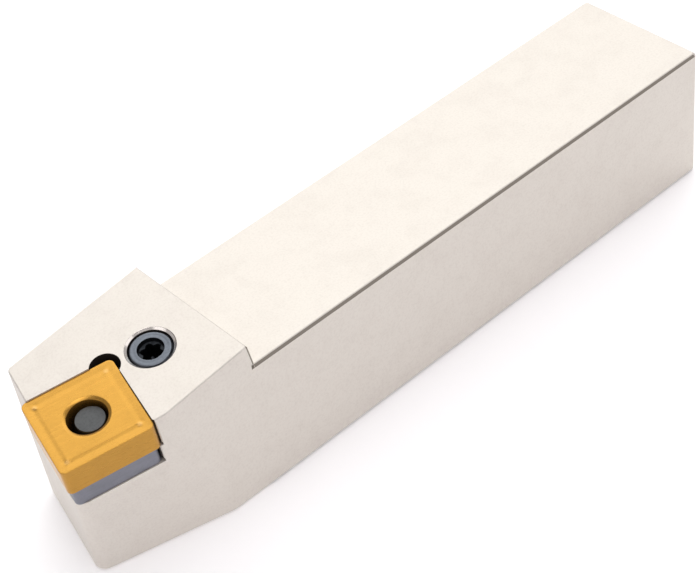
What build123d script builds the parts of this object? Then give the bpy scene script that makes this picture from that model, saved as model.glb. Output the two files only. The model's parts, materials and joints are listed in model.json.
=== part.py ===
from build123d import *

import os
from math import cos, radians, sin, tan

# Right-hand turning tool holder: a square steel shank with a raised head, in which a rocking lever
# pulls a square insert back into its pocket. Millimetres and degrees. The origin is at the middle
# of the base face, +X points to the head, +Z is up, and the cutting side is +Y.

# Shank, its length to the cutting corner, and that corner's distance from the -Y side
shank_height = 32
shank_width = 32
overall_length = 170
corner_offset = 27
long_edge_chamfer = 0.6
chamfer_run_out = 0.7
rear_edge_radius = 1.3

# Head: raised behind a leaning step, with a top that falls to the front and to the cutting side
head_length = 41.8
head_centre_height = 38.5
head_fall_front = 7
head_fall_side = 2.7
step_lean = 10
head_edge_chamfer = 0.2

# Flank and front of the head: plan angle, foot at the base, and relief below the cutting edges
flank_angle = 14.6
flank_start = 32
flank_relief = 4.6
flank_bend_radius = 6
front_angle = 15.6
front_setback = 3
front_relief = 3.35
nose_edge_radius = 2.4
far_edge_radius = 1.2

# Insert: double-sided square, turned from the shank and tilted down towards its cutting corner
cutting_edge_angle = 15
seat_tilt = 6
insert_side = 19.05
insert_thickness = 6.35
insert_corner_radius = 1.2
insert_hole_diameter = 7.94
insert_mouth_radius = 0.65
land_width = 0.3
breaker_width = 2.3
breaker_depth = 0.3
breaker_wall_angle = 50

# Shim under the insert, and the split pin that holds it on the pocket's floor
shim_side = 17.8
shim_thickness = 4.76
shim_hole_diameter = 9.7
shim_recess_diameter = 11.6
shim_recess_depth = 1
pin_diameter = 9.5
pin_bore = 8.1
pin_flange_diameter = 11.2
pin_flange_thickness = 0.8
pin_depth_in_body = 4.4
pin_slit = 1.6

# Pocket: the shim's walls stand in front of the insert's, with a relief groove at the foot of each
shim_wall = 18.45
wall_ledge_below_shim_top = 0.25
wall_groove_depth = 0.4
wall_groove_height = 0.6
corner_relief_diameter = 6.1
corner_relief_inset = (17.15, 17.7)
corner_relief_below_floor = 0.6
wall_corner_break = 0.45
wall_corner_inset = 0.55

# Lever: places are measured from the insert's centre towards the screw, and down from its top
screw_inset = (26.15, 16.8)
lever_shift = 0.42
lever_top_depth = 1.4
lever_top_radius = 2.8
lever_top_chamfer = 0.3
barrel_radius = 3.45
barrel_depth = 3.6
waist_radius = 2.75
waist_depth = 5.8
upright_radius = 3.05
upright_taper_depth = 12
knee_radius = 3.2
knee_depth = 20.3
tail_width = 7
tail_top_depth = 17.6
tail_end = 16.35
tail_rise = 8
tail_back_chamfer = 0.9

# Clamping screw: M10 x 1 without a head, drawn at the core of its thread, with a neck and a collar
# at its lower end
screw_face_depth = 0.15
screw_diameter = 8.9
screw_end_chamfer = 0.5
screw_barrel_length = 16.75
neck_diameter = 5.4
neck_length = 5.1
collar_diameter = 8.4
collar_length = 2.4
collar_chamfer = 0.5
socket_recess_diameter = 5.25
socket_recess_depth = 1
socket_diameter = 4.5
socket_rib_radius = 0.9
socket_rib_place = 2.55
socket_lobes = 6
socket_depth = 5

# Screw bore, and the cavity for the lever with the clearances round it
screw_bore_diameter = 9
bore_mouth_chamfer = 0.55
knee_clearance = 0.08
tail_side_clearance = 0.3
tail_end_clearance = 0.4
slot_start = 4.6
slot_ceiling_depth = 15.6

rear_x = -overall_length / 2
front_x = overall_length / 2
half_width = shank_width / 2
corner_y = corner_offset - half_width
seat_depth = insert_thickness + shim_thickness
reach = 60


def direction(plan_angle, rise=0.0):
    """Unit vector at a plan angle from +X that climbs by rise over each unit of plan length."""
    return Vector(cos(radians(plan_angle)), sin(radians(plan_angle)), rise).normalized()


def is_upright(edge):
    """Whether an edge of the body runs more or less straight up."""
    return abs(edge.tangent_at(0.5).Z) > 0.9


# The seat is the plane of the insert's top. Its X runs back along the cutting edge, its Y inwards
# along the front edge, and its origin is the sharp corner where both edges would meet.
rise = tan(radians(seat_tilt))
along_cutting_edge = direction(180 - cutting_edge_angle, rise)
along_front_edge = direction(-90 - cutting_edge_angle, rise)
seat_normal = along_cutting_edge.cross(along_front_edge).normalized()
sharp_corner = Vector(front_x, corner_y, shank_height)
seat = Plane(origin=sharp_corner, x_dir=along_cutting_edge, z_dir=seat_normal)
centre_inset = (insert_side / 2, insert_side / 2)

# The lever rocks in an upright plane through the insert's centre and the screw. That plane's X
# runs towards the screw and its Y up the insert's axis.
insert_centre = seat.from_local_coords(Vector(*centre_inset))
screw_place = seat.from_local_coords(Vector(*screw_inset))
towards_screw = (screw_place - insert_centre).normalized()
screw_distance = (screw_place - insert_centre).length
screw_centre = screw_place - seat_normal * screw_face_depth
rock_axis = towards_screw.cross(seat_normal)
rock_plane = Plane(origin=insert_centre, x_dir=towards_screw, z_dir=rock_axis)
lever_plan = Plane(origin=insert_centre, x_dir=towards_screw, z_dir=seat_normal)
screw_plan = Plane(origin=screw_centre, x_dir=towards_screw, z_dir=seat_normal)
screw_side = Plane(origin=screw_centre, x_dir=towards_screw, z_dir=rock_axis)
insert_axis = Axis(insert_centre, seat_normal)
upright_axis = Axis(insert_centre + towards_screw * lever_shift, seat_normal)
screw_axis = Axis(screw_centre, seat_normal)

# Faces of the head
step_x = front_x - head_length
head_top = Plane(
    origin=(step_x, 0, head_centre_height),
    z_dir=Vector(tan(radians(head_fall_front)), tan(radians(head_fall_side)), 1),
)
flank = Plane(
    origin=(front_x - flank_start, half_width, 0),
    z_dir=direction(90 - flank_angle, -tan(radians(flank_relief))),
)
front = Plane(
    origin=(front_x - front_setback, corner_y, 0),
    z_dir=direction(-front_angle, -tan(radians(front_relief))),
)
head_top_over_screw = (head_top.origin - screw_centre).dot(head_top.z_dir) / seat_normal.dot(head_top.z_dir)


with BuildPart() as holder_body:
    # Side view over the full width, with the head left tall until its top is cut to its slopes
    tall = head_centre_height + head_length
    with BuildSketch(Plane.XZ):
        with BuildLine():
            Polyline(
                (rear_x, 0),
                (front_x, 0),
                (front_x, tall),
                (step_x + (tall - shank_height) * tan(radians(step_lean)), tall),
                (step_x, shank_height),
                (rear_x, shank_height),
                close=True,
            )
        make_face()
    extrude(amount=half_width, both=True)
    split(bisect_by=head_top, keep=Keep.BOTTOM)
    split(bisect_by=flank, keep=Keep.BOTTOM)
    split(bisect_by=front, keep=Keep.BOTTOM)

    # Rounded upright edges, then the chamfer along the shank's edges, which runs out in the step
    fillet(holder_body.edges().filter_by(Axis.Z).group_by(Axis.X)[0], rear_edge_radius)
    bend_edge, far_edge, nose_edge = holder_body.edges().filter_by(is_upright).sort_by(Axis.X)[-3:]
    fillet(nose_edge, nose_edge_radius)
    fillet(far_edge, far_edge_radius)
    fillet(bend_edge, flank_bend_radius)
    chamfer(holder_body.edges().filter_by(Axis.X), long_edge_chamfer)
    chamfer(holder_body.faces().sort_by(Axis.Z)[-1].edges(), head_edge_chamfer)
    with BuildSketch(Plane.YZ.offset(step_x)):
        with Locations((-half_width, shank_height), (half_width, shank_height)):
            RegularPolygon(long_edge_chamfer, 4)
    extrude(amount=chamfer_run_out, mode=Mode.SUBTRACT)

    # Pocket floor and walls of the shim, and above them the set-back walls of the insert
    ledge_depth = insert_thickness + wall_ledge_below_shim_top
    for depth, wall in ((seat_depth, shim_wall), (ledge_depth, insert_side)):
        with BuildSketch(seat.offset(-depth)):
            with Locations((wall - reach / 2, wall - reach / 2)):
                Rectangle(reach, reach)
        extrude(amount=reach, mode=Mode.SUBTRACT)
        groove_wall = wall + wall_groove_depth
        with BuildSketch(seat.offset(-depth)):
            with Locations((groove_wall - reach / 2, groove_wall - reach / 2)):
                Rectangle(reach, reach)
        extrude(amount=wall_groove_height, mode=Mode.SUBTRACT)
        with BuildSketch(seat.offset(-depth)):
            with Locations((wall, wall_corner_inset)):
                RegularPolygon(wall_corner_break, 4)
        extrude(amount=reach, mode=Mode.SUBTRACT)

    # Relief hole for the insert's inner corner
    with BuildSketch(seat.offset(-seat_depth - corner_relief_below_floor)):
        with Locations(corner_relief_inset):
            Circle(corner_relief_diameter / 2)
    extrude(amount=reach, mode=Mode.SUBTRACT)

    # Tapped bore for the screw, right through, with a chamfered mouth
    bore_radius = screw_bore_diameter / 2
    with BuildSketch(screw_side):
        with BuildLine():
            Polyline(
                (0, -reach),
                (bore_radius, -reach),
                (bore_radius, head_top_over_screw - bore_mouth_chamfer),
                (bore_radius + reach / 4, head_top_over_screw - bore_mouth_chamfer + reach / 4),
                (0, head_top_over_screw - bore_mouth_chamfer + reach / 4),
                close=True,
            )
        make_face()
    revolve(axis=screw_axis, mode=Mode.SUBTRACT)

    # Bore under the pocket for the pin and the lever's upright
    with BuildSketch(seat.offset(-seat_depth)):
        with Locations(centre_inset):
            Circle(pin_diameter / 2)
    extrude(amount=seat_depth - knee_depth, mode=Mode.SUBTRACT)

    # Round seat for the knee, open towards the slot
    slot_half_width = tail_width / 2 + tail_side_clearance
    slot_round_centre = slot_start + slot_half_width
    knee_seat_radius = knee_radius + knee_clearance
    with BuildSketch(rock_plane):
        with BuildLine():
            back = lever_shift - knee_seat_radius
            floor = -knee_depth - knee_seat_radius
            CenterArc((lever_shift, -knee_depth), knee_seat_radius, 180, 90)
            Polyline(
                (lever_shift, floor),
                (slot_round_centre, floor),
                (slot_round_centre, -slot_ceiling_depth),
                (back, -slot_ceiling_depth),
                (back, -knee_depth),
            )
        make_face()
    extrude(amount=slot_half_width, both=True, mode=Mode.SUBTRACT)

    # Slot for the tail, milled from the underside into the screw's bore
    with BuildSketch(lever_plan.offset(-slot_ceiling_depth)):
        with Locations(((slot_round_centre + screw_distance) / 2, 0)):
            SlotCenterToCenter(screw_distance - slot_round_centre, 2 * slot_half_width)
    extrude(amount=-reach, mode=Mode.SUBTRACT)
holder_body.part.label = "holder_body"


with BuildPart() as cutting_insert:
    with BuildSketch(seat):
        with Locations(centre_inset):
            RectangleRounded(insert_side, insert_side, insert_corner_radius)
            Circle(insert_hole_diameter / 2, mode=Mode.SUBTRACT)
    extrude(amount=-insert_thickness)
    hole_rims = cutting_insert.edges().filter_by(GeomType.CIRCLE).filter_by(
        lambda e: abs(e.radius - insert_hole_diameter / 2) < 0.01
    )
    fillet(hole_rims, insert_mouth_radius)

    # Chip-breaking groove inside a narrow land, round both faces
    underside = Plane(
        origin=seat.from_local_coords(Vector(0, 0, -insert_thickness)),
        x_dir=along_front_edge,
        z_dir=-seat_normal,
    )
    groove_outer = insert_side - 2 * land_width
    groove_inner = groove_outer - 2 * breaker_width
    for face in (seat, underside):
        with BuildSketch(face):
            with Locations(centre_inset):
                RectangleRounded(groove_outer, groove_outer, insert_corner_radius - land_width)
                RectangleRounded(groove_inner, groove_inner, breaker_width, mode=Mode.SUBTRACT)
        extrude(amount=-breaker_depth, taper=breaker_wall_angle, mode=Mode.SUBTRACT)
cutting_insert.part.label = "cutting_insert"


with BuildPart() as shim:
    with BuildSketch(seat.offset(-insert_thickness)):
        with Locations(centre_inset):
            RectangleRounded(shim_side, shim_side, insert_corner_radius)
            Circle(shim_hole_diameter / 2, mode=Mode.SUBTRACT)
    extrude(amount=-shim_thickness)
    with BuildSketch(seat.offset(-insert_thickness)):
        with Locations(centre_inset):
            Circle(shim_recess_diameter / 2)
    extrude(amount=-shim_recess_depth, mode=Mode.SUBTRACT)
shim.part.label = "shim"


with BuildPart() as shim_pin:
    flange_foot = -insert_thickness - shim_recess_depth
    with BuildSketch(lever_plan.offset(-seat_depth - pin_depth_in_body)):
        Circle(pin_diameter / 2)
    extrude(amount=seat_depth + pin_depth_in_body + flange_foot)
    with BuildSketch(lever_plan.offset(flange_foot)):
        Circle(pin_flange_diameter / 2)
    extrude(amount=pin_flange_thickness)
    with BuildSketch(lever_plan.offset(-seat_depth - pin_depth_in_body)):
        Circle(pin_bore / 2)
        with Locations((-pin_flange_diameter / 2, 0)):
            Rectangle(pin_flange_diameter, pin_slit)
    extrude(amount=reach, mode=Mode.SUBTRACT)
shim_pin.part.label = "shim_pin"


with BuildPart() as clamp_lever:
    # Upright, turned: barrel head for the insert's hole, waist, and shaft down to the knee
    with BuildSketch(rock_plane):
        with BuildLine():
            shaft_x = lever_shift + upright_radius
            waist_x = lever_shift + waist_radius
            ThreePointArc(
                (lever_shift + lever_top_radius, -lever_top_depth - lever_top_chamfer),
                (lever_shift + barrel_radius, -barrel_depth),
                (waist_x, -waist_depth),
            )
            Polyline(
                (waist_x, -waist_depth),
                (shaft_x, -upright_taper_depth),
                (shaft_x, -knee_depth),
                (lever_shift, -knee_depth),
                (lever_shift, -lever_top_depth),
                (lever_shift + lever_top_radius - lever_top_chamfer, -lever_top_depth),
                (lever_shift + lever_top_radius, -lever_top_depth - lever_top_chamfer),
            )
        make_face()
    revolve(axis=upright_axis)

    # Knee and tail: flat-sided, round under the knee, tapering to the screw
    with BuildSketch(rock_plane):
        with BuildLine():
            knee_back = lever_shift - knee_radius
            knee_turn = CenterArc((lever_shift, -knee_depth), knee_radius, 180, 90 + tail_rise)
            under_x, under_y = (knee_turn @ 1).X, (knee_turn @ 1).Y
            Polyline(
                (under_x, under_y),
                (tail_end, under_y + (tail_end - under_x) * tan(radians(tail_rise))),
                (tail_end, -tail_top_depth),
                (knee_back + tail_back_chamfer, -tail_top_depth),
                (knee_back, -tail_top_depth - tail_back_chamfer),
                (knee_back, -knee_depth),
            )
        make_face()
    extrude(amount=tail_width / 2, both=True)

    # Hollow end that reaches round the screw's neck
    with BuildSketch(screw_plan):
        Circle(neck_diameter / 2 + tail_end_clearance)
    extrude(amount=-reach, mode=Mode.SUBTRACT)
clamp_lever.part.label = "clamp_lever"


with BuildPart() as clamp_screw:
    neck_foot = -screw_barrel_length - neck_length
    collar_foot = neck_foot - collar_length
    with BuildSketch(screw_side):
        with BuildLine():
            Polyline(
                (0, 0),
                (screw_diameter / 2 - screw_end_chamfer, 0),
                (screw_diameter / 2, -screw_end_chamfer),
                (screw_diameter / 2, -screw_barrel_length),
                (neck_diameter / 2, -screw_barrel_length),
                (neck_diameter / 2, neck_foot),
                (collar_diameter / 2, neck_foot),
                (collar_diameter / 2, collar_foot + collar_chamfer),
                (collar_diameter / 2 - collar_chamfer, collar_foot),
                (0, collar_foot),
                close=True,
            )
        make_face()
    revolve(axis=screw_axis)

    # Six-lobe socket below a round recess
    with BuildSketch(screw_plan):
        Circle(socket_recess_diameter / 2)
    extrude(amount=-socket_recess_depth, mode=Mode.SUBTRACT)
    with BuildSketch(screw_plan):
        Circle(socket_diameter / 2)
        with PolarLocations(socket_rib_place, socket_lobes):
            Circle(socket_rib_radius, mode=Mode.SUBTRACT)
    extrude(amount=-socket_depth, mode=Mode.SUBTRACT)
clamp_screw.part.label = "clamp_screw"


os.makedirs("parts", exist_ok=True)
export_step(holder_body.part, "parts/holder_body.step")
export_step(cutting_insert.part, "parts/cutting_insert.step")
export_step(shim.part, "parts/shim.step")
export_step(shim_pin.part, "parts/shim_pin.step")
export_step(clamp_lever.part, "parts/clamp_lever.step")
export_step(clamp_screw.part, "parts/clamp_screw.step")
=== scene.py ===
"""Dresses the packed turning tool holder: finishes, detailed insert, lever top and screw, and the stage."""

import json
import math

import bpy
import numpy as np
from bpy.props import FloatProperty, FloatVectorProperty, IntProperty, PointerProperty
from mathutils import Euler, Matrix, Vector


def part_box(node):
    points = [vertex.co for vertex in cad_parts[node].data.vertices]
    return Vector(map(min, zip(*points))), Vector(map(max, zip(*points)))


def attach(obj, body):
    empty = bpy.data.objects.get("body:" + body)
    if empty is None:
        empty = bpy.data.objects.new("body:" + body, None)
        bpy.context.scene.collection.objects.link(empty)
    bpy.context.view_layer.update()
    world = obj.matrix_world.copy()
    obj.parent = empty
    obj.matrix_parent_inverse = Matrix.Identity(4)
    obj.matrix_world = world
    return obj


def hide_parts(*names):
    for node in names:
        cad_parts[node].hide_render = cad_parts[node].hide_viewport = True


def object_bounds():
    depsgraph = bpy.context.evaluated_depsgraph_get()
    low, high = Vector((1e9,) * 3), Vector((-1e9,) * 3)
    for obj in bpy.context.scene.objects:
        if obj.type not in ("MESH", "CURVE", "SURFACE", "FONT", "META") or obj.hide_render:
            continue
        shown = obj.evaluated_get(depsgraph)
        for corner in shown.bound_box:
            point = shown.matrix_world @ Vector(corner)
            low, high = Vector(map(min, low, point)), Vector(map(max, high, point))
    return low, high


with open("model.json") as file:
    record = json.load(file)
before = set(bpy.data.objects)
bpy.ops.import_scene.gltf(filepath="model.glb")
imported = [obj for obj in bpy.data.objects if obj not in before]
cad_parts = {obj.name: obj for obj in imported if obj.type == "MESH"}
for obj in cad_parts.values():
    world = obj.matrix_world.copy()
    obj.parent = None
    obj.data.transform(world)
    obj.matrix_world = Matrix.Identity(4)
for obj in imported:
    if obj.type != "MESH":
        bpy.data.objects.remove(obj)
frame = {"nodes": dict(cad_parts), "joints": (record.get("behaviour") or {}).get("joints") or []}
cad_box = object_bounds()

bl_info = {
    "name": "Turning Tool Holder",
    "version": (1, 0, 0),
    "blender": (4, 5, 0),
    "location": "View3D > Sidebar > Tool Holder",
    "description": "Finishes, insert, clamp screw and stage for a lever-lock turning tool holder",
    "category": "Add Mesh",
}

MM = 0.001
INSERT_SIDE = 19.05 * MM
JOINTS = {joint["name"]: joint for joint in frame["joints"]}
# Each light: its place, its two sides, its watts and its colour.
LIGHTS = {
    "key_behind": ((-0.60, -0.70, 0.95), (1.5, 1.2), 10.2, (0.985, 1.0, 0.98)),
    "overhead": ((0.10, 0.08, 1.25), (0.7, 0.7), 4.2, (1.0, 0.99, 0.99)),
    "side_fill": ((-0.75, 0.75, 0.60), (0.9, 0.6), 1.2, (1.0, 0.98, 1.0)),
    "front_top": ((0.35, 0.62, 0.95), (0.7, 0.5), 1.5, (1.0, 0.98, 1.0)),
    "front_fill": ((0.90, 0.05, 0.40), (0.6, 0.5), 0.7, (1.0, 0.98, 1.0)),
}


# ---------------------------------------------------------------- settings


class HolderSettings(bpy.types.PropertyGroup):
    """Finish of the holder's body"""

    steel: FloatVectorProperty(
        name="Steel", description="Colour of the matte nickel-coloured body",
        subtype="COLOR", min=0, max=1, default=(0.735, 0.69, 0.63),
    )
    stain: FloatVectorProperty(
        name="Stain", description="Colour of the faint darker mottling",
        subtype="COLOR", min=0, max=1, default=(0.56, 0.50, 0.45),
    )
    roughness: FloatProperty(
        name="Roughness", description="Roughness of the blasted surface", min=0, max=1, default=0.5,
    )
    edge_radius: FloatProperty(
        name="Edge radius", description="Rounding that softens the body's edges",
        subtype="DISTANCE", min=0, default=0.12 * MM,
    )
    shank_width: FloatProperty(
        name="Shank", description="Width and height of the shank",
        subtype="DISTANCE", min=0, default=32 * MM,
    )
    step: FloatProperty(
        name="Step", description="Where the head's step stands on the shank's top",
        subtype="DISTANCE", default=43.2 * MM,
    )
    step_lean: FloatProperty(
        name="Step lean", description="Lean of the step towards the head", subtype="ANGLE",
        default=math.radians(10),
    )
    # Painted reflection: dark colour painted on the shank's chamfers for the dark surroundings they reflect,
    # and painted shadow at the step's foot.
    chamfer_shade: FloatVectorProperty(
        name="Shaded edges", description="Colour of the bare chamfers along the shank",
        subtype="COLOR", min=0, max=1, default=(0.27, 0.24, 0.20),
    )
    # Painted shade: near-black painted on the pocket's walls and inside the screw's bore and the relief hole,
    # where shade falls.
    bore_shade: FloatVectorProperty(
        name="Bores", description="Colour inside the bores and the pocket",
        subtype="COLOR", min=0, max=1, default=(0.045, 0.036, 0.03),
    )
    mouth: FloatVectorProperty(
        name="Bore mouth", description="Colour of the turned chamfer round the screw",
        subtype="COLOR", min=0, max=1, default=(0.95, 0.90, 0.83),
    )
    # The settings from here to the relief hole place the painted shade on the pocket's walls and in the
    # holes.
    pocket_depth: FloatProperty(
        name="Pocket depth", description="Depth of the pocket below the insert's top",
        subtype="DISTANCE", min=0, default=11.05 * MM,
    )
    pocket_start: FloatProperty(
        name="Pocket start", description="Where the walls' dark part starts, from the insert's outer side",
        subtype="DISTANCE", min=0, default=0.74 * MM,
    )
    wall_gap: FloatProperty(
        name="Wall gap", description="How far the dark part reaches past the insert's inner side",
        subtype="DISTANCE", min=0, default=0.42 * MM,
    )
    bore_radius: FloatProperty(
        name="Bore radius", description="Radius of the dark part round the screw",
        subtype="DISTANCE", min=0, default=4.52 * MM,
    )
    rim_radius: FloatProperty(
        name="Rim radius", description="Inside of the thin dark rim round the bore's mouth",
        subtype="DISTANCE", min=0, default=4.94 * MM,
    )
    relief_radius: FloatProperty(
        name="Relief radius", description="Radius of the dark part in the corner relief hole",
        subtype="DISTANCE", min=0, default=3.07 * MM,
    )
    relief_place: FloatVectorProperty(
        name="Relief hole", description="Middle of the corner relief hole, from the insert's middle",
        subtype="XYZ", size=2, default=(7.625 * MM, 8.175 * MM),
    )


class InsertSettings(bpy.types.PropertyGroup):
    """Sizes and colours of the square insert and its shim"""

    side: FloatProperty(
        name="Side", description="Length of the insert's side",
        subtype="DISTANCE", min=0, default=INSERT_SIDE,
    )
    thickness: FloatProperty(
        name="Thickness", description="Height of the insert", subtype="DISTANCE", min=0, default=6.35 * MM,
    )
    corner_radius: FloatProperty(
        name="Corner radius", description="Radius of the cutting corners",
        subtype="DISTANCE", min=0, default=1.2 * MM,
    )
    hole: FloatProperty(
        name="Hole", description="Diameter of the hole", subtype="DISTANCE", min=0, default=7.94 * MM,
    )
    mouth: FloatProperty(
        name="Mouth width", description="Width of the cone at each mouth of the hole",
        subtype="DISTANCE", min=0, default=0.68 * MM,
    )
    hone: FloatProperty(
        name="Hone", description="Rounding of the cutting edges",
        subtype="DISTANCE", min=0, default=0.07 * MM,
    )
    land: FloatProperty(
        name="Land", description="Width of the flat land behind the cutting edge",
        subtype="DISTANCE", min=0, default=0.35 * MM,
    )
    groove_depth: FloatProperty(
        name="Groove depth", description="Depth of the chip-breaking groove",
        subtype="DISTANCE", min=0, default=0.06 * MM,
    )
    plateau_inset: FloatProperty(
        name="Plateau inset", description="Distance from the side to the raised middle",
        subtype="DISTANCE", min=0, default=2.05 * MM,
    )
    nub_height: FloatProperty(
        name="Nub height", description="Height of the small nub at each corner of the raised middle",
        subtype="DISTANCE", min=0, default=0.05 * MM,
    )
    edge_angle: FloatProperty(
        name="Edge angle", description="Plan angle from the shank to the cutting edge",
        subtype="ANGLE", default=math.radians(15),
    )
    coating: FloatVectorProperty(
        name="Coating", description="Colour of the hard gold coating",
        subtype="COLOR", min=0, max=1, default=(0.50, 0.262, 0.047),
    )
    # Painted highlight: pale gold painted on the tops of the nubs.
    nub_highlight: FloatVectorProperty(
        name="Highlighted coating", description="Colour of the coating on top of the nubs",
        subtype="COLOR", min=0, max=1, default=(0.95, 0.68, 0.36),
    )
    carbide: FloatVectorProperty(
        name="Carbide", description="Colour of the ground shim",
        subtype="COLOR", min=0, max=1, default=(0.235, 0.24, 0.275),
    )


class ScrewSettings(bpy.types.PropertyGroup):
    """Sizes and colours of the clamp screw and the lever"""

    diameter: FloatProperty(
        name="Diameter", description="Outside diameter of the thread",
        subtype="DISTANCE", min=0, default=8.9 * MM,
    )
    pitch: FloatProperty(
        name="Pitch", description="Pitch of the fine thread",
        subtype="DISTANCE", min=0.1 * MM, default=1 * MM,
    )
    barrel: FloatProperty(
        name="Barrel", description="Length of the threaded barrel",
        subtype="DISTANCE", min=0, default=16.75 * MM,
    )
    neck: FloatProperty(
        name="Neck", description="Diameter of the neck", subtype="DISTANCE", min=0, default=5.4 * MM,
    )
    neck_length: FloatProperty(
        name="Neck length", description="Length of the neck", subtype="DISTANCE", min=0, default=5.1 * MM,
    )
    collar: FloatProperty(
        name="Collar", description="Diameter of the end collar", subtype="DISTANCE", min=0, default=8.4 * MM,
    )
    collar_length: FloatProperty(
        name="Collar length", description="Length of the end collar",
        subtype="DISTANCE", min=0, default=2.4 * MM,
    )
    chamfer: FloatProperty(
        name="Chamfer", description="Chamfer round the screw's face",
        subtype="DISTANCE", min=0, default=0.5 * MM,
    )
    recess: FloatProperty(
        name="Recess", description="Diameter of the recess over the socket",
        subtype="DISTANCE", min=0, default=5.25 * MM,
    )
    recess_depth: FloatProperty(
        name="Recess depth", description="Depth of the recess over the socket",
        subtype="DISTANCE", min=0, default=1 * MM,
    )
    socket: FloatProperty(
        name="Socket", description="Diameter across the socket's lobes",
        subtype="DISTANCE", min=0, default=4.5 * MM,
    )
    socket_waist: FloatProperty(
        name="Socket waist", description="Diameter across the socket's ribs",
        subtype="DISTANCE", min=0, default=3.25 * MM,
    )
    socket_depth: FloatProperty(
        name="Socket depth", description="Depth of the socket", subtype="DISTANCE", min=0, default=5 * MM,
    )
    lobes: IntProperty(name="Lobes", description="Number of lobes of the socket", min=3, default=6)
    steel: FloatVectorProperty(
        name="Screw steel", description="Colour of the screw",
        subtype="COLOR", min=0, max=1, default=(0.15, 0.165, 0.19),
    )
    lever: FloatVectorProperty(
        name="Lever steel", description="Colour of the lever",
        subtype="COLOR", min=0, max=1, default=(0.105, 0.108, 0.11),
    )
    spring: FloatVectorProperty(
        name="Pin steel", description="Colour of the shim's pin",
        subtype="COLOR", min=0, max=1, default=(0.22, 0.22, 0.225),
    )


class StageSettings(bpy.types.PropertyGroup):
    """Floor, lights and camera"""

    floor: FloatVectorProperty(
        name="Floor", description="Colour of the floor",
        subtype="COLOR", min=0, max=1, default=(0.96, 0.96, 0.965),
    )
    floor_size: FloatProperty(
        name="Floor size", description="Side of the floor", subtype="DISTANCE", min=0, default=6.0,
    )
    glow: FloatVectorProperty(
        name="Glow", description="Colour of the light that the floor gives off",
        subtype="COLOR", min=0, max=1, default=(1.0, 0.97, 1.0),
    )
    sky_colour: FloatVectorProperty(
        name="Sky colour", description="Colour of the even light all round",
        subtype="COLOR", min=0, max=1, default=(1.0, 0.965, 1.0),
    )
    sky: FloatProperty(name="Sky", description="Strength of the even light all round", min=0, default=0.38)
    lit_floor: FloatProperty(
        name="Lit floor", description="Light that the floor gives off, as a light table does",
        min=0, default=0.18,
    )
    camera_place: FloatVectorProperty(
        name="Camera place", description="Where the camera stands",
        subtype="TRANSLATION", default=(0.20002, 0.24462, 0.29253),
    )
    camera_turn: FloatVectorProperty(
        name="Camera turn", description="How the camera is turned", subtype="EULER",
        default=(math.radians(48.332), math.radians(5.496), math.radians(136.644)),
    )
    lens: FloatProperty(name="Lens", description="Focal length in millimetres", min=1, default=104.89)


# ---------------------------------------------------------------- places


def insert_frame(settings):
    """Matrix of the middle of the insert's top: X back along the cutting edge, Z up the insert's axis."""
    low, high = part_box("cutting_insert")
    normal = Vector(JOINTS["screw_turn"]["axis"]).normalized()
    plan = Vector((-math.cos(settings.edge_angle), math.sin(settings.edge_angle), 0))
    plan.z = -normal.xy.dot(plan.xy) / normal.z
    back = plan.normalized()
    across = normal.cross(back)
    place = (low + high) / 2 + normal * settings.thickness / 2
    return placed(back, across, normal, place)


def screw_frame():
    """Matrix of the middle of the screw's face: X away from the insert, Z up the screw's axis."""
    low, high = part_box("cutting_insert")
    normal = Vector(JOINTS["screw_turn"]["axis"]).normalized()
    place = Vector(JOINTS["screw_turn"]["pos_m"])
    away = place - (low + high) / 2
    away = (away - normal * away.dot(normal)).normalized()
    return placed(away, normal.cross(away), normal, place)


def placed(x_axis, y_axis, z_axis, place):
    """Matrix with the given axes and place."""
    turn = Matrix((x_axis, y_axis, z_axis)).transposed()
    return Matrix.Translation(place) @ turn.to_4x4()


# ---------------------------------------------------------------- mesh helpers


def smooth_step(low, high, value):
    """Smooth rise from 0 at low to 1 at high."""
    t = np.clip((value - low) / (high - low), 0, 1)
    return t * t * (3 - 2 * t)


def rounded_square(half, radius, arc_steps, side_steps):
    """Points once round a square with rounded corners, closer together towards the corners."""
    points = []
    inner = half - radius
    for quarter in range(4):
        turn = quarter * math.pi / 2
        corner = np.array([math.cos(turn) - math.sin(turn), math.sin(turn) + math.cos(turn)]) * inner
        for angle in np.linspace(0, math.pi / 2, arc_steps, endpoint=False) + turn:
            points.append(corner + radius * np.array([math.cos(angle), math.sin(angle)]))
        start = corner + radius * np.array([-math.sin(turn), math.cos(turn)])
        along = np.array([-math.cos(turn), -math.sin(turn)]) * 2 * inner
        for share in (1 - np.cos(np.linspace(0, math.pi, side_steps, endpoint=False))) / 2:
            points.append(start + along * share)
    return np.array(points)


def square_inset(x, y, half, radius):
    """Distance inwards from the side of a rounded square."""
    over_x = np.abs(x) - (half - radius)
    over_y = np.abs(y) - (half - radius)
    outside = np.hypot(np.maximum(over_x, 0), np.maximum(over_y, 0))
    return radius - outside - np.minimum(np.maximum(over_x, over_y), 0)


def ring(radius, height, steps):
    """Points once round the Z axis at a height; the radius is one number or one for each point."""
    angles = np.arange(steps) * 2 * math.pi / steps
    return np.column_stack([radius * np.cos(angles), radius * np.sin(angles), np.full(steps, height)])


def at_height(line, height):
    """Flat points lifted to a height, which is one number or one for each point."""
    return np.column_stack([line, np.broadcast_to(height, len(line))])


def skin(loops, closed=False, capped=()):
    """Vertices and faces of a tube through loops of equal length; capped lists the ends, 0 or -1, to fill."""
    count = len(loops[0])
    vertices = np.concatenate(loops)
    faces = []
    pairs = list(zip(range(len(loops) - 1), range(1, len(loops))))
    if closed:
        pairs.append((len(loops) - 1, 0))
    for lower, upper in pairs:
        for i in range(count):
            j = (i + 1) % count
            faces.append((lower * count + i, lower * count + j, upper * count + j, upper * count + i))
    for end in capped:
        first = (len(loops) - 1) * count if end else 0
        order = range(count) if end else reversed(range(count))
        faces.append([first + i for i in order])
    return vertices, faces


def new_object(name, data):
    """New object in the scene."""
    made = bpy.data.objects.new(name, data)
    bpy.context.scene.collection.objects.link(made)
    return made


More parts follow.
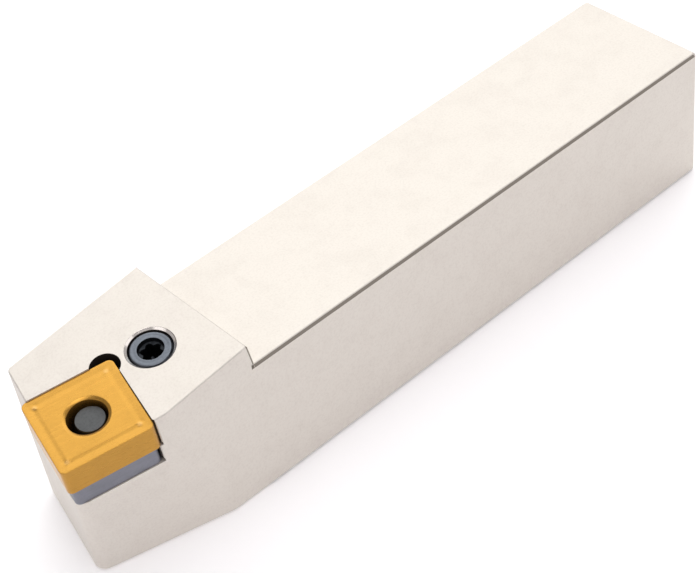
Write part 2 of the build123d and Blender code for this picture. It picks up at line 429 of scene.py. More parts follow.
def piece(name, vertices, faces, matrix, material, body, sharp):
    """New smooth-shaded object that rides on a body; edges over the sharp angle, in degrees, stay crisp."""
    mesh = bpy.data.meshes.new(name)
    mesh.from_pydata([tuple(v) for v in vertices], [], [tuple(f) for f in faces])
    mesh.transform(matrix)
    mesh.polygons.foreach_set("use_smooth", [True] * len(mesh.polygons))
    mesh.set_sharp_from_angle(angle=math.radians(sharp))
    mesh.materials.append(material)
    made = new_object(name, mesh)
    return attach(made, body)


# ---------------------------------------------------------------- shader helpers


def add(tree, kind, place, values=None, **properties):
    """Adds a node, sets its properties, and links or sets its inputs by name or number."""
    node = tree.nodes.new(kind)
    node.location = place
    for name, value in properties.items():
        setattr(node, name, value)
    for key, value in (values or {}).items():
        target = node.inputs[key]
        if isinstance(value, bpy.types.NodeSocket):
            tree.links.new(value, target)
        else:
            target.default_value = value
    return node


def number(tree, place, operation, *values, clamp=False):
    """Result of a math node."""
    inputs = dict(enumerate(values))
    return add(tree, "ShaderNodeMath", place, inputs, operation=operation, use_clamp=clamp).outputs[0]


def vector_result(tree, place, operation, *values):
    """Result of a vector math node: a number for a dot product or a length, and otherwise a vector."""
    node = add(tree, "ShaderNodeVectorMath", place, dict(enumerate(values)), operation=operation)
    return node.outputs["Value" if operation in ("DOT_PRODUCT", "LENGTH") else "Vector"]


def soft_range(tree, place, value, low, high, top=1.0):
    """Smooth change from 0 at low to top at high."""
    return add(
        tree, "ShaderNodeMapRange", place, {"Value": value, "From Min": low, "From Max": high, "To Max": top},
        interpolation_type="SMOOTHSTEP",
    ).outputs[0]


def noise(tree, place, vector, scale, detail, roughness=0.5):
    """Strength of a noise texture."""
    values = {"Vector": vector, "Scale": scale, "Detail": detail, "Roughness": roughness}
    return add(tree, "ShaderNodeTexNoise", place, values).outputs["Fac"]


def blend(tree, place, mask, base, top):
    """Colour mixed from base to top by a mask."""
    mixed = add(tree, "ShaderNodeMix", place, {"Factor": mask, "A": base, "B": top}, data_type="RGBA")
    return mixed.outputs["Result"]


def rgba(colour, share=1.0):
    """Opaque colour, made darker or brighter by a share."""
    return (*(min(1, part * share) for part in colour), 1.0)


# ---------------------------------------------------------------- shader groups


def fill_mottle(tree, given):
    """Cloudy patches and fine specks: a colour, a 0 to 1 mask and a height for bump."""
    detail = {"Patch Size": 3.0, "Speck Size": 2.0, "Grain Size": 1.0}
    made = {}
    for row, size in enumerate(detail):
        scale = number(tree, (-1000, 400 - 300 * row), "DIVIDE", 1.0, given[size])
        made[size] = noise(tree, (-800, 400 - 300 * row), given["Vector"], scale, detail[size], 0.6)
    patch_mask = soft_range(tree, (-550, 400), made["Patch Size"], 0.42, 0.68)
    speck_mask = soft_range(tree, (-550, 100), made["Speck Size"], 0.40, 0.75)
    patch_share = number(tree, (-300, 400), "MULTIPLY", patch_mask, given["Patches"])
    speck_share = number(tree, (-300, 100), "MULTIPLY", speck_mask, given["Specks"])
    both = number(tree, (-100, 250), "ADD", patch_share, speck_share, clamp=True)
    height = number(tree, (100, -200), "MULTIPLY_ADD", made["Speck Size"], 0.6, made["Grain Size"])
    colour = blend(tree, (200, 250), both, given["Colour"], given["Stain"])
    return {"Colour": colour, "Mask": both, "Height": height}


def fill_edges(tree, given):
    """Rounded-edge normal, and a mask that is 1 on the edges."""
    rounded = add(tree, "ShaderNodeBevel", (-800, 0), {"Radius": given["Radius"]}, samples=8).outputs[0]
    surface = add(tree, "ShaderNodeNewGeometry", (-800, -200))
    agree = vector_result(tree, (-550, -100), "DOT_PRODUCT", rounded, surface.outputs["Normal"])
    bend = number(tree, (-350, -100), "SUBTRACT", 1.0, agree)
    mask = number(tree, (-150, -100), "MULTIPLY", bend, given["Sharpness"], clamp=True)
    return {"Normal": rounded, "Mask": mask}


def fill_marks(tree, given):
    """Fine straight marks left by grinding or handling, along the X of the vector that is given."""
    across = number(tree, (-1000, 100), "DIVIDE", 1.0, given["Width"])
    along = number(tree, (-1000, -100), "DIVIDE", 1.0, given["Length"])
    scale = add(tree, "ShaderNodeCombineXYZ", (-800, 0), {"X": along, "Y": across, "Z": across}).outputs[0]
    stretched = vector_result(tree, (-600, 0), "MULTIPLY", given["Vector"], scale)
    lines = noise(tree, (-400, 0), stretched, 1.0, 3.0, 0.7)
    return {"Mask": soft_range(tree, (-150, 0), lines, 0.3, 0.75)}


def fill_box(tree, given):
    """Mask that is 1 inside a box, given by its low and high corners."""
    least = []
    for row, first, second in ((0, "Vector", "Low"), (-300, "High", "Vector")):
        gap = vector_result(tree, (-900, row), "SUBTRACT", given[first], given[second])
        split = add(tree, "ShaderNodeSeparateXYZ", (-700, row), {0: gap}).outputs
        pair = number(tree, (-500, row), "MINIMUM", split[0], split[1])
        least.append(number(tree, (-300, row), "MINIMUM", pair, split[2]))
    inside = number(tree, (-100, -100), "MINIMUM", *least)
    return {"Mask": number(tree, (100, -100), "GREATER_THAN", inside, 0.0)}


def fill_tube(tree, given):
    """Mask that is 1 within a radius of the Z line through a centre."""
    gap = vector_result(tree, (-900, 0), "SUBTRACT", given["Vector"], given["Centre"])
    flat = vector_result(tree, (-700, 0), "MULTIPLY", gap, (1, 1, 0))
    distance = vector_result(tree, (-500, 0), "LENGTH", flat)
    return {"Mask": number(tree, (-300, 0), "LESS_THAN", distance, given["Radius"])}


VECTOR, COLOUR, NUMBER = "NodeSocketVector", "NodeSocketColor", "NodeSocketFloat"
# Each group: what fills it, its inputs (a number has a default and a highest value), and its outputs.
GROUPS = {
    "Mottled Grain": (
        fill_mottle,
        (
            ("Vector", VECTOR), ("Colour", COLOUR), ("Stain", COLOUR),
            ("Patch Size", NUMBER, 8 * MM, 1), ("Speck Size", NUMBER, 0.8 * MM, 1),
            ("Grain Size", NUMBER, 0.2 * MM, 1), ("Patches", NUMBER, 0.2, 1), ("Specks", NUMBER, 0.2, 1),
        ),
        (("Colour", COLOUR), ("Mask", NUMBER), ("Height", NUMBER)),
    ),
    "Soft Edges": (
        fill_edges,
        (("Radius", NUMBER, 0.1 * MM, 1), ("Sharpness", NUMBER, 6.0, 100)),
        (("Normal", VECTOR), ("Mask", NUMBER)),
    ),
    "Ground Marks": (
        fill_marks,
        (("Vector", VECTOR), ("Width", NUMBER, 0.1 * MM, 1), ("Length", NUMBER, 5 * MM, 1)),
        (("Mask", NUMBER),),
    ),
    "Box Mask": (
        fill_box,
        (("Vector", VECTOR), ("Low", VECTOR), ("High", VECTOR)),
        (("Mask", NUMBER),),
    ),
    "Tube Mask": (
        fill_tube,
        (("Vector", VECTOR), ("Centre", VECTOR), ("Radius", NUMBER, 1 * MM, 1)),
        (("Mask", NUMBER),),
    ),
}


def shared_group(name):
    """The shader group of that name, built the first time it is asked for."""
    if name in bpy.data.node_groups:
        return bpy.data.node_groups[name]
    fill, inputs, outputs = GROUPS[name]
    tree = bpy.data.node_groups.new(name, "ShaderNodeTree")
    for title, kind, *limits in inputs:
        made = tree.interface.new_socket(name=title, in_out="INPUT", socket_type=kind)
        if limits:
            made.default_value, made.min_value, made.max_value = limits[0], 0, limits[1]
    for title, kind in outputs:
        tree.interface.new_socket(name=title, in_out="OUTPUT", socket_type=kind)
    source = add(tree, "NodeGroupInput", (-1200, 0))
    add(tree, "NodeGroupOutput", (700, 0), fill(tree, source.outputs))
    return tree


def use_group(tree, name, place, values):
    """Outputs of a shader group placed in a material with its own values."""
    return add(tree, "ShaderNodeGroup", place, values, node_tree=shared_group(name)).outputs


# ---------------------------------------------------------------- vectors and masks


def turned_vector(tree, vector, matrix, place):
    """The vector seen in another frame, so that marks can follow a piece's own axes."""
    turn = matrix.to_3x3().inverted().to_euler()
    values = {"Vector": vector, "Rotation": turn}
    return add(tree, "ShaderNodeVectorRotate", place, values, rotation_type="EULER_XYZ").outputs[0]


def placed_vector(tree, vector, matrix, place):
    """The vector measured from a frame's own place and axes."""
    gap = vector_result(tree, place, "SUBTRACT", vector, tuple(matrix.translation))
    return turned_vector(tree, gap, matrix, (place[0] + 200, place[1]))


def facing_below(tree, matrix, limit, place):
    """Mask of the surfaces that face up a frame's Z by less than a limit, which is 1 for square to it."""
    across, up = place
    normal = add(tree, "ShaderNodeNewGeometry", place).outputs["True Normal"]
    rise = vector_result(tree, (across + 200, up), "DOT_PRODUCT", normal, tuple(matrix.to_3x3().col[2]))
    return number(tree, (across + 400, up), "LESS_THAN", rise, limit)


def in_box(tree, place, vector, low, high):
    """Mask of a box."""
    return use_group(tree, "Box Mask", place, {"Vector": vector, "Low": low, "High": high})[0]


def in_tube(tree, place, vector, radius, centre=(0, 0, 0)):
    """Mask of a round hole along Z."""
    return use_group(tree, "Tube Mask", place, {"Vector": vector, "Centre": centre, "Radius": radius})[0]


def bore_shade_mask(tree, vector, settings, seat, screw):
    """Mask of the painted shade: the pocket's walls, and the insides of the screw's bore and the relief hole.
    """
    own = placed_vector(tree, vector, seat, (-2400, -700))
    at_screw = placed_vector(tree, vector, screw, (-2400, -1100))
    half, slack = INSERT_SIDE / 2, 0.05 * MM
    start, end = settings.pocket_start - half, half + settings.wall_gap
    # Painted shade on the walls below the insert's top, and on the wall behind the insert where the gap lies
    # in shade.
    beside = in_box(tree, (-1900, -600), own, (-half, start, -settings.pocket_depth), (end, end, -slack))
    behind = in_box(tree, (-1900, -450), own, (half - slack, start, -1 * MM), (end, end, 4 * MM))
    either = number(tree, (-1700, -500), "MAXIMUM", beside, behind)
    upright = facing_below(tree, seat, 0.5, (-2400, -500))
    walls = number(tree, (-1500, -600), "MULTIPLY", either, upright)
    relief = in_tube(tree, (-1900, -800), own, settings.relief_radius, (*settings.relief_place, 0))
    bore = in_tube(tree, (-1900, -1000), at_screw, settings.bore_radius)
    holes = number(tree, (-1500, -800), "MAXIMUM", relief, bore)
    return number(tree, (-1350, -800), "MAXIMUM", walls, holes)


def chamfer_shade_mask(tree, vector, settings):
    """Mask of the painted dark reflection on the chamfers along the shank's edges, and of the painted shadow
    at the step's edge on the cutting side.
    """
    surface = add(tree, "ShaderNodeNewGeometry", (-2400, -1500))
    sides = []
    for row, start in ((-1500, surface.outputs["True Normal"]), (-1700, vector)):
        whole = vector_result(tree, (-2200, row), "ABSOLUTE", start)
        sides.append(add(tree, "ShaderNodeSeparateXYZ", (-2000, row), {0: whole}).outputs)
    slope = number(tree, (-1800, -1500), "MULTIPLY", sides[0][1], sides[0][2])
    sloping = number(tree, (-1600, -1500), "GREATER_THAN", slope, 0.485)
    half, width, end = settings.shank_width / 2, 0.45 * MM, settings.step + 1 * MM
    near = in_box(tree, (-1600, -1700), vector, (-1, half - width, -1), (end, 1, 1))
    far = in_box(tree, (-1600, -1850), vector, (-1, -1, -1), (end, width - half, 1))
    both = number(tree, (-1400, -1700), "MAXIMUM", near, far)
    along = number(tree, (-1200, -1500), "MULTIPLY", sloping, both)
    # Painted shadow where the step stands over the near chamfer.
    lean = math.tan(settings.step_lean)
    upright = vector_result(tree, (-1800, -2000), "DOT_PRODUCT", vector, (1, 0, -lean))
    leaned = {"X": upright, "Y": sides[1][1], "Z": sides[1][2]}
    foot = settings.step - settings.shank_width * lean
    step = in_box(
        tree, (-1400, -2000), add(tree, "ShaderNodeCombineXYZ", (-1600, -2000), leaned).outputs[0],
        (foot - 0.5 * MM, half - 0.25 * MM, settings.shank_width), (foot + 0.30 * MM, 1, 1),
    )
    return number(tree, (-1000, -1500), "MAXIMUM", along, step)


def mouth_masks(tree, vector, settings, screw):
    """Masks of the chamfer round the mouth of the screw's bore, and of the thin rim round that."""
    at_screw = placed_vector(tree, vector, screw, (-2400, 900))
    around = in_tube(tree, (-1900, 900), at_screw, settings.bore_radius + 1.48 * MM)
    inner = in_tube(tree, (-1900, 700), at_screw, settings.bore_radius - 0.005 * MM)
    within_rim = in_tube(tree, (-1900, 1400), at_screw, settings.rim_radius)
    band = number(tree, (-1700, 800), "SUBTRACT", around, inner)
    leaning = facing_below(tree, screw, 0.9, (-2400, 1100))
    mouth = number(tree, (-1500, 900), "MULTIPLY", band, leaning)
    beyond = number(tree, (-100, 600), "SUBTRACT", mouth, within_rim)
    return mouth, number(tree, (100, 600), "GREATER_THAN", beyond, 0.5)


# ---------------------------------------------------------------- materials


def new_material(name, metallic, specular=0.5):
    """Material with a Principled shader: itself, its node tree, its shader and the object's coordinates."""
    material = bpy.data.materials.new(name)
    material.use_nodes = True
    tree = material.node_tree
    tree.nodes.clear()
    values = {"Metallic": metallic, "Specular IOR Level": specular}
    shader = add(tree, "ShaderNodeBsdfPrincipled", (600, 0), values)
    add(tree, "ShaderNodeOutputMaterial", (900, 0), {"Surface": shader.outputs[0]})
    coordinates = add(tree, "ShaderNodeTexCoord", (-1400, 0))
    return material, tree, shader, coordinates.outputs["Object"]


def connect(tree, shader, colour, roughness, bump):
    """Links a colour, a roughness and a bumped normal, given by its inputs, to a Principled shader."""
    normal = add(tree, "ShaderNodeBump", (0, -300), bump).outputs[0]
    for name, value in (("Base Color", colour), ("Roughness", roughness), ("Normal", normal)):
        tree.links.new(value, shader.inputs[name])


def body_material(settings, seat, screw):
    """Matte nickel-coloured steel, finely blasted, with painted shade along its edges and creases, a painted
    dark reflection on the shank's chamfers, a painted shadow at the step's foot, and painted shade on the
    pocket's walls and inside the screw's bore and the relief hole.
    """
    metal, mouth_metal, mouth_polish, stain_roughness, edge_shade_strength = 0.5, 0.4, 0.34, 0.25, 0.55
    material, tree, shader, vector = new_material("Blasted nickel steel", metal)
    grain = use_group(tree, "Mottled Grain", (-900, 200), {
        "Vector": vector, "Colour": rgba(settings.steel), "Stain": rgba(settings.stain),
        "Patch Size": 5 * MM, "Speck Size": 0.45 * MM, "Grain Size": 0.16 * MM,
        "Patches": 0.08, "Specks": 0.20,
    })
    edges = use_group(tree, "Soft Edges", (-900, -300), {"Radius": settings.edge_radius, "Sharpness": 4.0})
    # Dark colour for the painted shade along the edges and creases, and for the thin dark rim round the
    # bore's mouth.
    line = rgba(settings.stain, 0.6)
    mouth, rim = mouth_masks(tree, vector, settings, screw)
    layers = (
        # Painted shade: the edges and creases darkened.
        (number(tree, (-650, -150), "MULTIPLY", edges["Mask"], edge_shade_strength), line),
        # Painted dark reflection on the shank's chamfers and painted shadow at the step's foot.
        (chamfer_shade_mask(tree, vector, settings), rgba(settings.chamfer_shade)),
        # Painted shade: the pocket's walls and the holes turned near-black.
        (bore_shade_mask(tree, vector, settings, seat, screw), rgba(settings.bore_shade)),
        (mouth, rgba(settings.mouth)),
        (rim, line),
    )
    colour = grain["Colour"]
    for i, (mask, top) in enumerate(layers):
        colour = blend(tree, (200 * i - 500, 300), mask, colour, top)
    metallic = number(tree, (100, 100), "MULTIPLY_ADD", mouth, mouth_metal, metal)
    tree.links.new(metallic, shader.inputs["Metallic"])
    rough = number(tree, (-300, 0), "MULTIPLY_ADD", grain["Mask"], stain_roughness, settings.roughness)
    rough = number(tree, (-100, 0), "MULTIPLY_ADD", mouth, -mouth_polish, rough)
    bump = {"Strength": 0.35, "Distance": 0.012 * MM, "Height": grain["Height"], "Normal": edges["Normal"]}
    connect(tree, shader, colour, rough, bump)
    return material


def coating_material(settings, seat):
    """Satin gold coating with faint grinding marks, a painted highlight on its edges and a painted highlight
    on the nubs.
    """
    material, tree, shader, vector = new_material("Gold coating", 0.9)
    own = turned_vector(tree, vector, seat, (-1200, 0))
    grain = use_group(tree, "Mottled Grain", (-900, 200), {
        "Vector": own, "Colour": rgba(settings.coating), "Stain": rgba(settings.coating, 0.80),
        "Patch Size": 3.5 * MM, "Speck Size": 0.5 * MM, "Grain Size": 0.12 * MM,
        "Patches": 0.22, "Specks": 0.15,
    })
    stroke = {"Vector": own, "Width": 0.16 * MM, "Length": 9 * MM}
    marks = use_group(tree, "Ground Marks", (-900, -100), stroke)
    edges = use_group(tree, "Soft Edges", (-900, -400), {"Radius": 0.05 * MM, "Sharpness": 3.0})
    # Painted highlight: the coating's edges lightened towards a brighter gold.
    edge_highlight = rgba([part * 1.12 + 0.05 for part in settings.coating])
    colour = blend(tree, (-300, 200), edges["Mask"], grain["Colour"], edge_highlight)
    corner = nub_place(settings)
    whole = vector_result(tree, (-1000, 700), "ABSOLUTE", placed_vector(tree, vector, seat, (-1400, 700)))
    gap = vector_result(tree, (-800, 700), "SUBTRACT", whole, (corner, corner, 0))
    flat = vector_result(tree, (-600, 700), "MULTIPLY", gap, (1, 1, 0))
    distance = vector_result(tree, (-400, 700), "LENGTH", flat)
    # Painted highlight on the tops of the nubs, pale gold fading out from each nub's middle.
    nub_highlight = soft_range(tree, (-200, 700), distance, 0.75 * MM, 0.15 * MM, 0.16)
    colour = blend(tree, (0, 500), nub_highlight, colour, rgba(settings.nub_highlight))
    rough = number(tree, (-300, -100), "MULTIPLY_ADD", marks["Mask"], 0.08, 0.26)
    height = number(tree, (-300, -300), "MULTIPLY_ADD", marks["Mask"], 0.5, grain["Height"])
    connect(tree, shader, colour, rough, {"Strength": 0.25, "Distance": 0.006 * MM, "Height": height})
    return material


def ground_material(name, colour, matrix, roughness, edge_radius, width, length, dark=0.72, shade_radius=0.0):
    """Bare metal with straight ground marks, softened edges with a painted highlight, and painted shade
    inside a given radius round Z.
    """
    material, tree, shader, vector = new_material(name, 1.0)
    own = turned_vector(tree, vector, matrix, (-1200, 0))
    marks = use_group(tree, "Ground Marks", (-900, -100), {"Vector": own, "Width": width, "Length": length})
    grain = use_group(tree, "Mottled Grain", (-900, 200), {
        "Vector": own, "Colour": rgba(colour), "Stain": rgba(colour, dark),
        "Patch Size": 4 * MM, "Speck Size": 0.45 * MM, "Grain Size": 0.1 * MM,
        "Patches": 0.4, "Specks": 0.4,
    })
    edges = use_group(tree, "Soft Edges", (-900, -400), {"Radius": edge_radius, "Sharpness": 4.0})
    # Painted highlight: the edges lightened.
    finish = blend(tree, (-300, 200), edges["Mask"], grain["Colour"], rgba(colour, 1.35))
    rough = number(tree, (-300, -100), "MULTIPLY_ADD", marks["Mask"], 0.14, roughness)
    height = number(tree, (-300, -300), "MULTIPLY_ADD", marks["Mask"], 0.8, grain["Height"])
    # Painted shade: near-black inside the radius, where the screw's recess and socket lie in shade.
    if shade_radius:
        inside = in_tube(tree, (-900, 500), placed_vector(tree, vector, matrix, (-1400, 500)), shade_radius)
        finish = blend(tree, (0, 300), inside, finish, rgba(colour, 0.2))
    bump = {"Strength": 0.3, "Distance": 0.01 * MM, "Height": height, "Normal": edges["Normal"]}
    connect(tree, shader, finish, rough, bump)
    return material


def finish_node(node, material):
    """Gives a CAD node its material."""
    for material_slot in frame["nodes"][node].material_slots:
        material_slot.material = material


# ---------------------------------------------------------------- insert


def ramp(low, high, value):
    """Nearly straight rise from 0 at low to 1 at high, with soft ends."""
    return 0.6 * np.clip((value - low) / (high - low), 0, 1) + 0.4 * smooth_step(low, high, value)


def nub_place(settings):
    """Distance along X and along Y from the insert's middle to each nub."""
    return settings.side / 2 - settings.plateau_inset - 0.1 * MM


def insert_height(settings, x, y):
    """Height of the insert's face over the cutting edge: land, groove, raised middle and corner nubs."""
    half = settings.side / 2
    inset = square_inset(x, y, half, settings.corner_radius)
    plateau = square_inset(x, y, half - settings.plateau_inset, 0.6 * MM)
    down = ramp(settings.land, settings.land + 1.3 * MM, inset)
    up = ramp(-0.35 * MM, 0.45 * MM, plateau)
    height = -settings.groove_depth * down * (1 - 0.85 * up)
    corner = nub_place(settings)
    along = (np.abs(x) + np.abs(y) - 2 * corner) / math.sqrt(2)
    across = (np.abs(x) - np.abs(y)) / math.sqrt(2)
    nub = np.exp(-((along / (0.8 * MM)) ** 2) - (across / (0.36 * MM)) ** 2)
    dents = np.exp(-((along / (0.6 * MM)) ** 2) - ((np.abs(across) - 0.8 * MM) / (0.35 * MM)) ** 2)
    return height + settings.nub_height * nub - 0.35 * settings.nub_height * dents


def insert_face_loops(settings):
    """Loops over one face of the insert, from below its cutting edge into the hole's mouth."""
    half, hone, corner = settings.side / 2, settings.hone, settings.corner_radius
    mouth = settings.hole / 2 + settings.mouth
    arc_steps, side_steps, hone_steps = 16, 56, 4
    outline = rounded_square(half, corner, arc_steps, side_steps)
    loops = [at_height(outline, -hone - 0.05 * MM)]
    for angle in np.linspace(0, math.pi / 2, hone_steps, endpoint=False):
        inset = hone * (1 - math.cos(angle))
        line = rounded_square(half - inset, corner - inset, arc_steps, side_steps)
        loops.append(at_height(line, -hone * (1 - math.sin(angle))))
    # The loops lie closest together where the raised middle rises and the nubs stand.
    insets = np.concatenate([
        np.array([0.0, 0.14, 0.26]) * MM + hone,
        np.arange(0.42, 1.8, 0.12) * MM,
        np.arange(1.8, 2.6, 0.07) * MM,
        np.arange(2.6, 4.01, 0.12) * MM,
    ])
    radii = np.interp(insets / MM, (0, 1.6, 2.2, 2.6, 4.0), (1.2, 1.0, 0.6, 0.5, 2.4)) * MM
    for inset, radius in zip(insets, radii):
        line = rounded_square(half - inset, radius, arc_steps, side_steps)
        loops.append(at_height(line, insert_height(settings, *line.T)))
    angles = np.arctan2(line[:, 1], line[:, 0])
    circle = np.column_stack([np.cos(angles), np.sin(angles)])
    for share in np.linspace(0.2, 1, 5):
        points = line * (1 - share) + circle * mouth * share
        loops.append(at_height(points, insert_height(settings, *points.T)))
    level, steepness = loops[-1][:, 2].mean(), 0.7
    for share, drop in ((0.08, 0.015), (0.18, 0.07), (0.5, 0.27), (0.85, 0.5), (0.96, 0.62), (1.0, 0.75)):
        line = circle * (mouth - share * settings.mouth)
        loops.append(at_height(line, level - steepness * drop * settings.mouth))
    return loops


def make_insert(settings, material, seat):
    """Closed mesh of the double-sided insert."""
    top = insert_face_loops(settings)
    bottom = [loop * np.array([1, 1, -1]) - np.array([0, 0, settings.thickness]) for loop in reversed(top)]
    vertices, faces = skin(top + bottom, closed=True)
    made = piece("gold_insert", vertices, faces, seat, material, "holder", sharp=30)
    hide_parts("cutting_insert")


# ---------------------------------------------------------------- lever


def make_lever_top(steel, seat):
    """Closed thin disc: the bare turned face of the lever's barrel, seen down the insert's hole."""
    shift, top, radius, bevel, thickness = 0.42 * MM, -1.38 * MM, 2.94 * MM, 0.06 * MM, 0.5 * MM
    pinhole, middle, steps = 0.02 * MM, 1.5 * MM, 96
    place = seat.translation + screw_frame().to_3x3().col[0] * shift
    matrix = Matrix.Translation(place) @ seat.to_3x3().to_4x4()
    loops = [
        ring(pinhole, top - thickness, steps),
        ring(middle, top - thickness, steps),
        ring(radius + 0.05 * MM, top - thickness + 0.05 * MM, steps),
        ring(radius, top - bevel, steps),
        ring(radius - bevel, top, steps),
        ring(middle, top, steps),
        ring(pinhole, top, steps),
    ]
    vertices, faces = skin(loops, capped=(0, -1))
    turned = matrix @ Matrix.Rotation(math.radians(100), 4, "Z")
    material = ground_material(
        "Bare lever steel", steel, turned, roughness=0.45, edge_radius=0.06 * MM,
        width=0.07 * MM, length=2.5 * MM, dark=0.6,
    )
    piece("lever_top", vertices, faces, matrix, material, "lever", sharp=40)


# ---------------------------------------------------------------- clamp screw


def lobe_loop(settings, height, steps, grow=0.0):
    """Outline of the six-lobe socket at a height."""
    outer, inner = settings.socket / 2 + grow, settings.socket_waist / 2 + grow
    angles = np.arange(steps) * 2 * math.pi / steps
    wave = (1 + np.cos(settings.lobes * angles)) / 2
    return ring(inner + (outer - inner) * wave ** 0.8, height, steps)


def thread_loops(settings, steps):
    """Loops down the threaded barrel, cut back by the chamfer at its top and a small one at its foot."""
    outer, pitch = settings.diameter / 2, settings.pitch
    depth, rows_per_turn, start, foot_chamfer = 0.45 * pitch, 8, 0.02 * MM, 0.5 * MM
    rows = int(round(settings.barrel / pitch * rows_per_turn))
    angles = np.arange(steps) * 2 * math.pi / steps
    loops = []
    for row in range(rows + 1):
        height = -start - (settings.barrel - start) * row / rows
        phase = (height / pitch - angles / (2 * math.pi)) % 1
        crest = np.clip(1.25 - 2.5 * np.abs(phase - 0.5), 0, 1)
        radius = outer - depth * (1 - crest)
        radius = np.minimum(radius, outer - settings.chamfer - height)
        radius = np.minimum(radius, outer - foot_chamfer + height + settings.barrel)
        loops.append(ring(radius, height, steps))
    return loops


def make_screw(settings, material, matrix):
    """Closed mesh of the clamp screw: socket, face with one fine turned line, thread, neck and collar."""
    steps, line = 96, 0.14 * MM
    recess, edge = settings.recess / 2, 0.08 * MM
    floor = -settings.recess_depth
    middle = (recess + settings.diameter / 2 - settings.chamfer) / 2
    loops = [
        ring(0.02 * MM, -settings.socket_depth - 0.6 * MM, steps),
        lobe_loop(settings, -settings.socket_depth, steps, -0.12 * MM),
        lobe_loop(settings, -settings.socket_depth + 0.1 * MM, steps),
        lobe_loop(settings, floor - 0.22 * MM, steps),
        lobe_loop(settings, floor - 0.08 * MM, steps, 0.10 * MM),
        ring(recess - 2 * edge, floor, steps),
        ring(recess - 1.3 * edge, floor + edge, steps),
        ring(recess, -edge, steps),
        ring(recess + edge * 0.3, -edge * 0.3, steps),
        ring(recess + edge, 0, steps),
        ring(recess + 2 * edge, 0, steps),
        ring(middle - line, 0, steps),
        ring(middle, -0.04 * MM, steps),
        ring(middle + line, 0, steps),
        ring(settings.diameter / 2 - settings.chamfer - edge, 0, steps),
    ]
    loops += thread_loops(settings, steps)
    foot = -settings.barrel - settings.neck_length
    neck, collar, fillet, bevel = settings.neck / 2, settings.collar / 2, 0.3 * MM, 0.5 * MM
    loops += [
        ring(neck + fillet, -settings.barrel, steps),
        ring(neck, -settings.barrel - fillet, steps),
        ring(neck, foot + fillet, steps),
        ring(neck + fillet, foot, steps),
        ring(collar - edge, foot, steps),
        ring(collar, foot - edge, steps),
        ring(collar, foot - settings.collar_length + bevel, steps),
        ring(collar - bevel, foot - settings.collar_length, steps),
    ]
    vertices, faces = skin(loops, capped=(0, -1))
    made = piece("clamp_screw_detail", vertices, faces, matrix, material, "screw", sharp=35)
    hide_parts("clamp_screw")


# ---------------------------------------------------------------- stage


def make_lights(target):
    """Soft rectangular lights that look at a target."""
    for name, (place, size, watts, colour) in LIGHTS.items():
        light = bpy.data.lights.new(name, "AREA")
        light.shape = "RECTANGLE"
        light.size, light.size_y = size
        light.energy = watts
        light.color = colour
        made = new_object(name, light)
        made.location = place
        made.rotation_euler = (target - Vector(place)).to_track_quat("-Z", "Y").to_euler()


def make_floor(settings):
    """Large pale floor under the tool holder."""
    half = settings.floor_size / 2
    level = cad_box[0].z - 0.02 * MM
    mesh = bpy.data.meshes.new("floor")
    corners = [(-half, -half, level), (half, -half, level), (half, half, level), (-half, half, level)]
    mesh.from_pydata(corners, [], [(0, 1, 2, 3)])
    material, tree, shader, vector = new_material("Pale floor", 0.0, 0.2)
    shader.inputs["Roughness"].default_value = 0.9
    haze = noise(tree, (-700, 0), vector, 2.0, 2.0)
    tone = blend(tree, (-300, 0), haze, rgba(settings.floor), rgba(settings.floor, 0.99))
    tree.links.new(tone, shader.inputs["Base Color"])
    shader.inputs["Emission Color"].default_value = rgba(settings.glow)
    shader.inputs["Emission Strength"].default_value = settings.lit_floor
    mesh.materials.append(material)
    floor = new_object("floor", mesh)


def make_sky(settings):
    """Even white light all round."""
    world = bpy.data.worlds.new("Studio")
    world.use_nodes = True
    background = world.node_tree.nodes["Background"]
    background.inputs["Color"].default_value = rgba(settings.sky_colour)
    background.inputs["Strength"].default_value = settings.sky
    bpy.context.scene.world = world


def make_camera(settings):
    """Camera at the usual three-quarter view of the cutting side."""
    camera = bpy.data.cameras.new("camera")
    camera.lens = settings.lens
    camera.sensor_width = 36
    camera.clip_start, camera.clip_end = 0.01, 50
    made = new_object("camera", camera)
    made.location = settings.camera_place
    made.rotation_euler = Euler(settings.camera_turn)
    bpy.context.scene.camera = made


# ---------------------------------------------------------------- operators


class TOOLHOLDER_OT_body(bpy.types.Operator):
    """Finish the holder's body"""

    bl_idname = "toolholder.body"
    bl_label = "Holder Body"

    def execute(self, context):
        seat = insert_frame(context.scene.toolholder_insert)
        finish_node("holder_body", body_material(context.scene.toolholder_body, seat, screw_frame()))
        return {"FINISHED"}


class TOOLHOLDER_OT_insert(bpy.types.Operator):
    """Make the coated insert"""

    bl_idname = "toolholder.insert"
    bl_label = "Insert"

    def execute(self, context):
        settings = context.scene.toolholder_insert
        seat = insert_frame(settings)
        make_insert(settings, coating_material(settings, seat), seat)
        return {"FINISHED"}


class TOOLHOLDER_OT_shim(bpy.types.Operator):
    """Finish the shim and its pin"""

    bl_idname = "toolholder.shim"
    bl_label = "Shim and Pin"

    def execute(self, context):
        seat = insert_frame(context.scene.toolholder_insert)
        carbide = context.scene.toolholder_insert.carbide
        finish_node("shim", ground_material(
            "Ground carbide", carbide, seat, roughness=0.42, edge_radius=0.1 * MM,
            width=0.12 * MM, length=7 * MM, dark=0.85))
        spring = context.scene.toolholder_screw.spring
        finish_node("shim_pin", ground_material(
            "Spring steel", spring, seat, roughness=0.4, edge_radius=0.08 * MM,
            width=0.1 * MM, length=3 * MM))
        return {"FINISHED"}


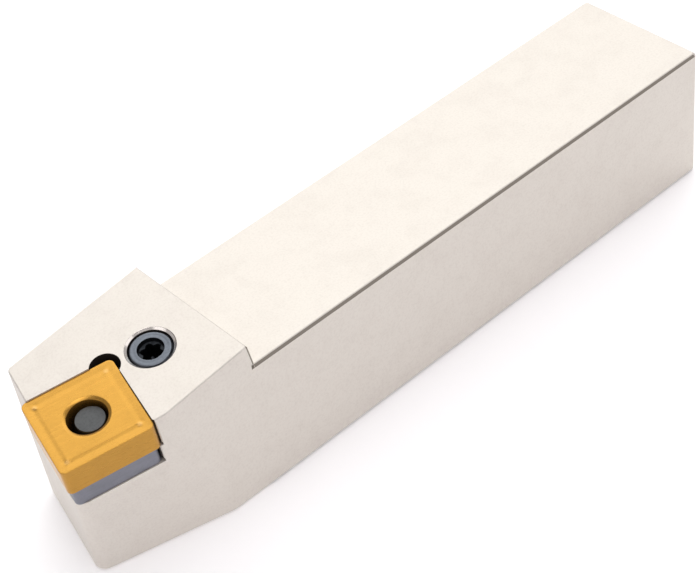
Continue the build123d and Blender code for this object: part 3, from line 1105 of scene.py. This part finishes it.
class TOOLHOLDER_OT_lever(bpy.types.Operator):
    """Finish the clamp lever"""

    bl_idname = "toolholder.lever"
    bl_label = "Clamp Lever"

    def execute(self, context):
        steel = context.scene.toolholder_screw.lever
        seat = insert_frame(context.scene.toolholder_insert)
        black = tuple(c * 0.3 for c in steel)
        finish_node("clamp_lever", ground_material(
            "Blackened lever steel", black, seat, roughness=0.45, edge_radius=0.1 * MM,
            width=0.1 * MM, length=3 * MM))
        make_lever_top(steel, seat)
        return {"FINISHED"}


class TOOLHOLDER_OT_screw(bpy.types.Operator):
    """Make the clamp screw"""

    bl_idname = "toolholder.screw"
    bl_label = "Clamp Screw"

    def execute(self, context):
        settings = context.scene.toolholder_screw
        matrix = screw_frame()
        # The screw's recess and socket get painted shade.
        material = ground_material(
            "Blued screw steel", settings.steel, matrix, roughness=0.36, edge_radius=0.08 * MM,
            width=0.3 * MM, length=0.4 * MM, shade_radius=settings.recess / 2 + 0.03 * MM)
        make_screw(settings, material, matrix)
        return {"FINISHED"}


class TOOLHOLDER_OT_stage(bpy.types.Operator):
    """Set the floor, the lights and the camera"""

    bl_idname = "toolholder.stage"
    bl_label = "Stage"

    def execute(self, context):
        settings = context.scene.toolholder_stage
        make_floor(settings)
        make_sky(settings)
        make_lights((cad_box[0] + cad_box[1]) / 2)
        make_camera(settings)
        context.scene.view_settings.view_transform = "Standard"
        return {"FINISHED"}


class TOOLHOLDER_PT_panel(bpy.types.Panel):
    """Buttons and settings of the tool holder"""

    bl_label = "Tool Holder"
    bl_idname = "TOOLHOLDER_PT_panel"
    bl_space_type = "VIEW_3D"
    bl_region_type = "UI"
    bl_category = "Tool Holder"

    def draw(self, context):
        layout = self.layout
        for operator in OPERATORS:
            layout.operator(operator.bl_idname)
        for name, group in SETTINGS.items():
            box = layout.box()
            box.label(text=group.__doc__)
            for key in group.__annotations__:
                box.prop(getattr(context.scene, name), key)


SETTINGS = {
    "toolholder_body": HolderSettings,
    "toolholder_insert": InsertSettings,
    "toolholder_screw": ScrewSettings,
    "toolholder_stage": StageSettings,
}
OPERATORS = (
    TOOLHOLDER_OT_body,
    TOOLHOLDER_OT_insert,
    TOOLHOLDER_OT_shim,
    TOOLHOLDER_OT_lever,
    TOOLHOLDER_OT_screw,
    TOOLHOLDER_OT_stage,
)
CLASSES = (*SETTINGS.values(), *OPERATORS, TOOLHOLDER_PT_panel)


def register():
    """Adds the classes, and the settings to the scene."""
    for cls in CLASSES:
        bpy.utils.register_class(cls)
    for name, group in SETTINGS.items():
        setattr(bpy.types.Scene, name, PointerProperty(type=group))


def unregister():
    """Takes the settings and the classes away again."""
    for name in SETTINGS:
        delattr(bpy.types.Scene, name)
    for cls in reversed(CLASSES):
        bpy.utils.unregister_class(cls)


def main():
    """Builds every piece and the stage."""
    register()
    bpy.ops.toolholder.body()
    bpy.ops.toolholder.insert()
    bpy.ops.toolholder.shim()
    bpy.ops.toolholder.lever()
    bpy.ops.toolholder.screw()
    bpy.ops.toolholder.stage()


if __name__ == "__main__":
    main()
